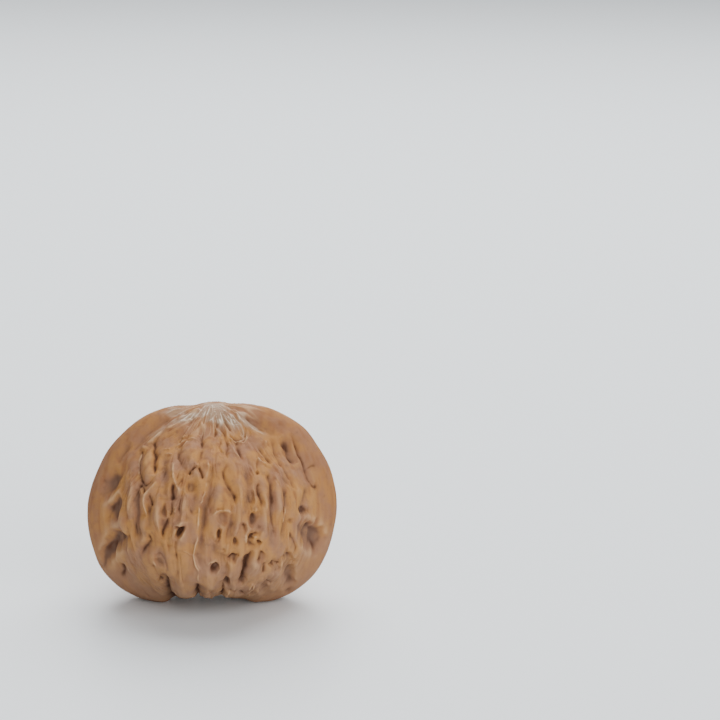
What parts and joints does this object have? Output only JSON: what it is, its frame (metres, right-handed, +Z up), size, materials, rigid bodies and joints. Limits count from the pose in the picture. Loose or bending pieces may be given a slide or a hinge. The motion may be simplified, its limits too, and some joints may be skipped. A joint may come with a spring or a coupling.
{
  "type": "walnut",
  "caption": "Walnut in its closed shell, wide and short with a thick raised seam, deeply wrinkled sides and a low point, standing on its base.",
  "frame": {"origin": "centre of the bounding box at the surface the walnut stands on", "axes": "+Z up from the base to the point, +X along the seam's plane to the right as seen from the wrinkled front, +Y from the front side to the back side across the seam"},
  "size_m": [0.0448, 0.0398, 0.0365],
  "materials": {
    "shell": "dry woody shell, waxy low sheen, darker creases"
  },
  "bodies": {
    "root": {"walnut": "shell"}
  },
  "joints": []
}
